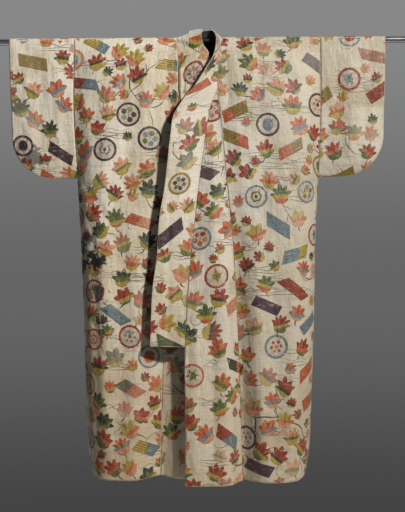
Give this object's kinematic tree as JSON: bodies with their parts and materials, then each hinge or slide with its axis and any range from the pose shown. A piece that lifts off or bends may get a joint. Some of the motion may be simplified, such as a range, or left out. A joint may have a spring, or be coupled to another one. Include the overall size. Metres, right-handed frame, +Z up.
{
  "type": "noh robe on a hanging rod",
  "caption": "Full-length lined silk brocade noh robe with short deep sleeves and a long open collar, hung through its sleeves on a plain round steel rod",
  "frame": {"origin": "on the rod's axis, at the middle of its length", "axes": "X along the rod with the robe's left sleeve at +X, front of the robe at -Y, Z up"},
  "size_m": [1.5, 0.2213, 1.5957],
  "materials": {
    "brocade": "cream silk with coloured float-weave leaves, rings and slips",
    "dark_lining": "near-black plain silk",
    "rod_steel": "bright round bar"
  },
  "bodies": {
    "root": {"rod": "rod_steel", "front_left": "brocade", "front_right": "brocade", "back_left": "brocade", "back_right": "brocade", "overlap_left": "brocade", "overlap_right": "brocade", "collar_left": "brocade", "collar_right": "brocade", "sleeve_left_front": "brocade", "sleeve_left_back": "brocade", "sleeve_right_front": "brocade", "sleeve_right_back": "brocade", "neck_lining": "dark_lining"}
  },
  "joints": []
}
